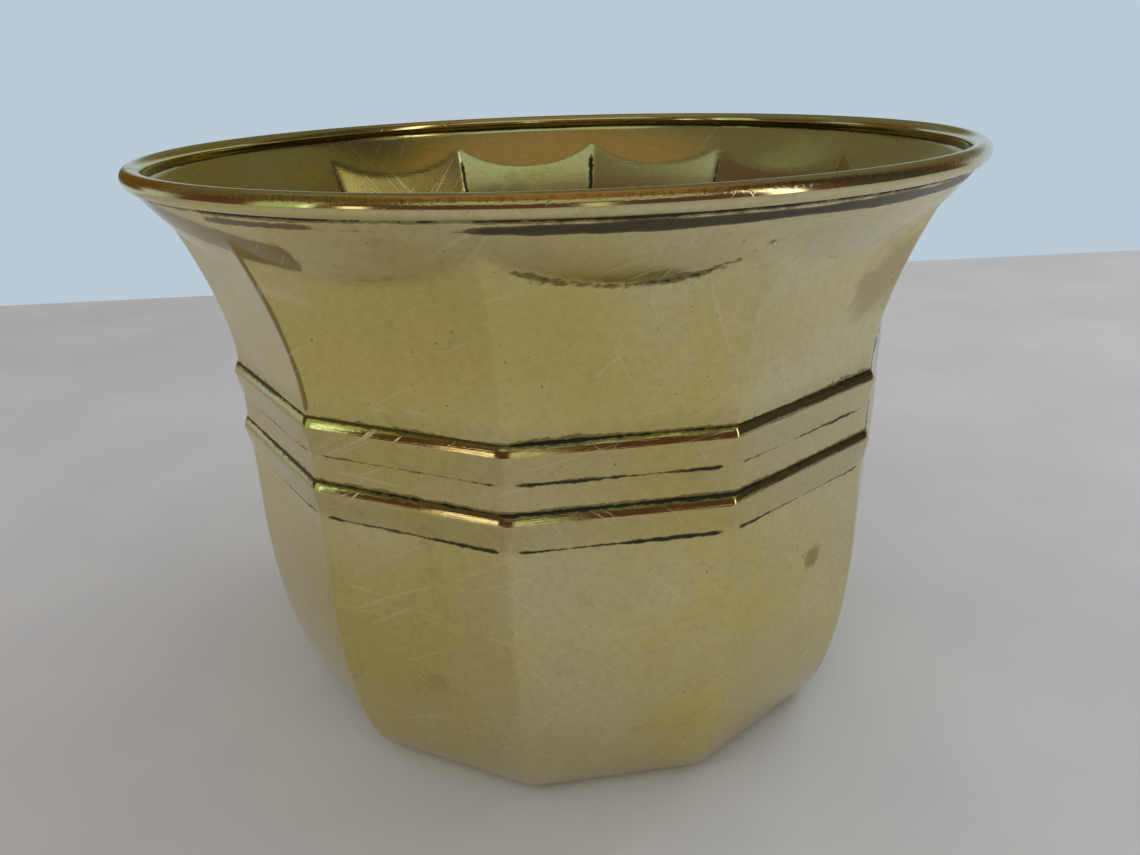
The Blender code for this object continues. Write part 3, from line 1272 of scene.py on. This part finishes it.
    def build(self) -> bpy.types.Object:
        """Join the stretches into one closed mesh.

        Returns:
            The shell, linked to the scene.
        """
        patches = [self.outside(), self.curl(), self.inside()]
        points = np.concatenate([patch.points for patch in patches])
        ring_count, column_count = points.shape[:2]
        indices = np.arange(ring_count * column_count).reshape(ring_count, column_count)
        following = np.roll(indices, -1, axis=1)
        quads = np.stack([indices[:-1], following[:-1], following[1:], indices[1:]], -1).reshape(-1, 4)
        foot_centre = ring_count * column_count
        floor_centre = foot_centre + 1
        fans = [(int(b), int(a), foot_centre) for a, b in zip(indices[0], following[0])]
        fans += [(int(a), int(b), floor_centre) for a, b in zip(indices[-1], following[-1])]
        centres = [(0.0, 0.0, float(points[0, 0, 2])), (0.0, 0.0, float(points[-1, 0, 2]))]
        mesh = bpy.data.meshes.new(self.name)
        mesh.from_pydata(points.reshape(-1, 3).tolist() + centres, [], quads.tolist() + fans)
        for mask in Mask:
            values = np.concatenate([patch.masks[mask] for patch in patches]).ravel()
            layer = mesh.attributes.new(mask.value, "FLOAT", "POINT")
            at_centres = [0.0, 1.0 if mask is Mask.INSIDE else 0.0]
            layer.data.foreach_set("value", np.concatenate([values, at_centres]).astype(np.float32))
        mesh.shade_smooth()
        mesh.set_sharp_from_angle(angle=self.sharp_angle)
        mesh.validate()
        shell = bpy.data.objects.new(self.name, mesh)
        bpy.context.collection.objects.link(shell)
        return shell

    def dress(self, shell: bpy.types.Object) -> None:
        """Give the shell its finish and its body, and hide the imported part that it replaces.

        Args:
            shell: The built shell.
        """
        shell.data.materials.append(PolishedBrass().material())
        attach(shell, BODY)
        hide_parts("pot_shell")


@dataclass
class RimWire:
    """The wire inside the rolled rim."""

    profile: Profile
    name: str = "steel_rim_wire"
    clearance: float = 0.0003                        # between the wire and the curl
    turns: int = 240                                 # sections round the rim
    sides: int = 20                                  # points round a section

    def build(self) -> bpy.types.Object:
        """Sweep a round section along the rim.

        Returns:
            The wire, linked to the scene.
        """
        shape = self.profile
        radius = shape.bead - shape.sheet - self.clearance
        around = np.linspace(0.0, FULL_TURN, self.turns, endpoint=False)[:, None]
        section = np.linspace(0.0, FULL_TURN, self.sides, endpoint=False)[None, :]
        out = shape.bead_radius + radius * np.cos(section)
        up = shape.bead_height + radius * np.sin(section) + np.zeros_like(around)
        points = np.stack([out * np.cos(around), out * np.sin(around), up], -1)
        indices = np.arange(self.turns * self.sides).reshape(self.turns, self.sides)
        onward = np.roll(indices, -1, axis=0)
        aside = np.roll(indices, -1, axis=1)
        corner = np.roll(onward, -1, axis=1)
        quads = np.stack([indices, onward, corner, aside], -1).reshape(-1, 4)
        mesh = bpy.data.meshes.new(self.name)
        mesh.from_pydata(points.reshape(-1, 3).tolist(), [], quads.tolist())
        mesh.shade_smooth()
        wire = bpy.data.objects.new(self.name, mesh)
        bpy.context.collection.objects.link(wire)
        return wire

    def dress(self, wire: bpy.types.Object) -> None:
        """Give the wire its finish and its body, and hide the imported part that it replaces.

        Args:
            wire: The built wire.
        """
        wire.data.materials.append(DrawnWire().material())
        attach(wire, BODY)
        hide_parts("rim_wire")


@dataclass
class PlanterPot:
    """The whole pot: its shell and its rim wire."""

    height: float
    rim_diameter: float

    @classmethod
    def in_box(cls, low: Vector, high: Vector) -> "PlanterPot":
        """A pot as high and as wide as a box, from the box's corners."""
        return cls(height=high.z - low.z, rim_diameter=high.x - low.x)

    def build(self) -> list[bpy.types.Object]:
        """Build and dress both pieces.

        Returns:
            The shell and the wire.
        """
        profile = Profile(self.height, self.rim_diameter)
        made = []
        for part in (Shell(profile), RimWire(profile)):
            piece = part.build()
            part.dress(piece)
            made.append(piece)
        return made


@dataclass(frozen=True)
class Panel:
    """A soft-edged patch of the surroundings, placed by the angles at which the pot sees it."""

    colour: Colour
    turn: Span       # degrees to the right of straight in front of the pot, from and to
    lift: Span       # degrees above the horizon, from and to
    softness: float


@dataclass(frozen=True)
class Lamp:
    """A soft square lamp that lights the table and the pot, and shows in no reflection."""

    name: str
    spot: Triple
    target: Triple
    size: float      # length of its side
    power: float     # watts
    colour: Triple

    def build(self) -> None:
        """Add the lamp."""
        light = bpy.data.lights.new(self.name, "AREA")
        light.size = self.size
        light.energy = self.power
        light.color = self.colour
        lamp = bpy.data.objects.new(self.name, light)
        lamp.location = self.spot
        aim = Vector(self.target) - Vector(self.spot)
        lamp.rotation_euler = aim.to_track_quat("-Z", "Y").to_euler()
        lamp.visible_glossy = False
        bpy.context.collection.objects.link(lamp)


@dataclass(frozen=True)
class Studio:
    """Plain pale table, soft sky light and the lamps."""

    table_half: Span = (1.6, 0.85)
    table_back: float = 0.452
    table_turn: float = math.radians(-3.5)
    table_gap: float = 0.00002                       # under the foot, so that no two faces coincide
    wall: Colour = (0.49, 0.59, 0.68, 1.0)
    fill: Colour = (0.475, 0.465, 0.455, 1.0)
    panels: tuple[Panel, ...] = (
        Panel((0.150, 0.140, 0.075, 1.0), (-181.0, 181.0), (10.0, 91.0), 4.0),     # upper walls
        Panel((0.115, 0.055, 0.040, 1.0), (-112.0, 112.0), (-90.0, 27.0), 6.0),    # dark room in front
        Panel((0.060, 0.055, 0.045, 1.0), (68.0, 100.0), (-90.0, 62.0), 8.0),      # dark furniture, right
        Panel((0.31, 0.21, 0.095, 1.0), (-181.0, 181.0), (62.0, 91.0), 6.0),       # wooden ceiling
        Panel((0.46, 0.54, 0.41, 1.0), (-48.0, 34.0), (29.0, 53.0), 2.5),          # high window
        Panel((0.14, 0.073, 0.016, 1.0), (-156.0, -128.0), (-4.0, 24.0), 2.5),     # wooden screen, left
        Panel((0.21, 0.22, 0.12, 1.0), (-152.0, -126.0), (42.0, 66.0), 5.0),       # high window, left
        Panel((0.46, 0.58, 0.34, 1.0), (-84.0, -67.5), (-8.0, 30.0), 1.5),         # garden window, left
        Panel((1.8, 2.2, 2.0, 1.0), (-69.5, -67.5), (-8.0, 16.0), 0.7),            # its bright edge
        Panel((1.7, 1.5, 1.3, 1.0), (-59.5, -53.0), (-8.0, 12.0), 0.8),            # doorway
        Panel((0.75, 0.80, 0.55, 1.0), (-1.0, 5.0), (-8.0, 20.0), 2.0),            # pale curtain
        Panel((2.8, 2.8, 2.4, 1.0), (44.0, 52.0), (-10.0, 40.0), 2.0),             # gap between curtains
    )
    lamps: tuple[Lamp, ...] = (
        Lamp("side_lamp", (1.0, 0.75, 1.0), (0.0, 0.0, 0.0), 0.9, 3.6, (0.78, 0.90, 1.0)),
        Lamp("near_lamp", (-0.30, -0.32, 0.45), (-0.25, -0.20, 0.0), 0.3, 0.22, (1.0, 0.97, 0.92)),
        Lamp("right_lamp", (0.36, 0.0, 0.42), (0.30, 0.0, 0.0), 0.3, 0.24, (0.72, 0.88, 1.0)),
    )

    def build(self) -> None:
        """Add the table, the surroundings and the lamps."""
        self.add_table()
        self.add_surroundings()
        for lamp in self.lamps:
            lamp.build()

    def add_table(self) -> None:
        """A flat rectangle under the pot, with its far edge behind the pot."""
        wide, deep = self.table_half
        corners = [(-wide, -deep), (wide, -deep), (wide, deep), (-wide, deep)]
        mesh = bpy.data.meshes.new("table")
        mesh.from_pydata([(x, y, 0.0) for x, y in corners], [], [(0, 1, 2, 3)])
        table = bpy.data.objects.new("table", mesh)
        table.rotation_euler.z = self.table_turn
        table.location = (0.0, self.table_back - deep, -self.table_gap)
        mesh.materials.append(PaleCloth().material())
        bpy.context.collection.objects.link(table)
        table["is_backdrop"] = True

    def add_surroundings(self) -> None:
        """A pale wall all round, with the room's darker and brighter parts laid over it."""
        world = bpy.data.worlds.new("studio")
        bpy.context.scene.world = world
        world.use_nodes = True
        sketch = NodeSketch(world.node_tree)
        direction = sketch.add("ShaderNodeTexCoord").outputs["Generated"]
        parts = sketch.add("ShaderNodeSeparateXYZ", {0: direction})
        toward = sketch.times(parts.outputs["Y"], -1.0)
        turn = sketch.math("DEGREES", sketch.math("ARCTAN2", parts.outputs["X"], toward))
        lift = sketch.math("DEGREES", sketch.math("ARCSINE", parts.outputs["Z"]))
        colour = self.wall
        for panel in self.panels:
            colour = sketch.mix(self.panel_share(sketch, panel, turn, lift), colour, panel.colour)
        rays = sketch.add("ShaderNodeLightPath").outputs
        colour = sketch.mix(rays["Is Glossy Ray"], self.fill, colour)
        colour = sketch.mix(rays["Is Camera Ray"], colour, self.wall)
        shade = sketch.add("ShaderNodeBackground", {"Color": colour, "Strength": 1.0})
        sketch.add("ShaderNodeOutputWorld", {"Surface": shade.outputs[0]})

    def panel_share(self, sketch: NodeSketch, panel: Panel, turn: Socket, lift: Socket) -> Socket:
        """How much of a panel is seen in a direction.

        Args:
            sketch: Tree to add to.
            panel: The panel.
            turn: Socket with the direction's turn, in degrees.
            lift: Socket with its lift, in degrees.

        Returns:
            Socket with 1 on the panel and 0 off it.
        """
        shares = []
        for angle, (start, end) in ((turn, panel.turn), (lift, panel.lift)):
            rise = sketch.ease(angle, (start - panel.softness, start + panel.softness))
            fall = sketch.ease(angle, (end + panel.softness, end - panel.softness))
            shares.append(sketch.times(rise, fall))
        return sketch.times(*shares)


@dataclass(frozen=True)
class Viewpoint:
    """Where the viewer stands, and which way they look."""

    distance: float = 0.22358
    height: float = 0.16641
    side_step: float = math.radians(7.078)
    pan: float = math.radians(0.30)
    tilt: float = math.radians(24.576)
    roll: float = math.radians(-1.864)
    lens: float = 24.78
    near_clip: float = 0.01

    def build(self) -> None:
        """Add the camera and make it the scene's own."""
        heading = self.side_step + self.pan
        level = math.cos(self.tilt)
        forward = Vector((math.sin(heading) * level, math.cos(heading) * level, -math.sin(self.tilt)))
        side = forward.cross(Vector((0.0, 0.0, 1.0))).normalized()
        top = side.cross(forward)
        right = side * math.cos(self.roll) + top * math.sin(self.roll)
        up = top * math.cos(self.roll) - side * math.sin(self.roll)
        data = bpy.data.cameras.new("view")
        data.lens = self.lens
        data.clip_start = self.near_clip
        camera = bpy.data.objects.new("view", data)
        camera.matrix_world = Matrix((right, up, -forward)).transposed().to_4x4()
        camera.location = (
            -self.distance * math.sin(self.side_step),
            -self.distance * math.cos(self.side_step),
            self.height,
        )
        bpy.context.collection.objects.link(camera)
        bpy.context.scene.camera = camera


def main() -> None:
    """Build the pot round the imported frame, then the studio and the view."""
    logging.basicConfig(level=logging.INFO, format="%(name)s: %(message)s")
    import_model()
    packed_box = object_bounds()
    pot = PlanterPot.in_box(*packed_box)
    for piece in pot.build():
        LOG.info("%s: %d faces", piece.name, len(piece.data.polygons))
    Studio().build()
    Viewpoint().build()
    bpy.context.scene.view_settings.view_transform = "Standard"
    bpy.context.view_layer.update()


if __name__ == "__main__":
    main()
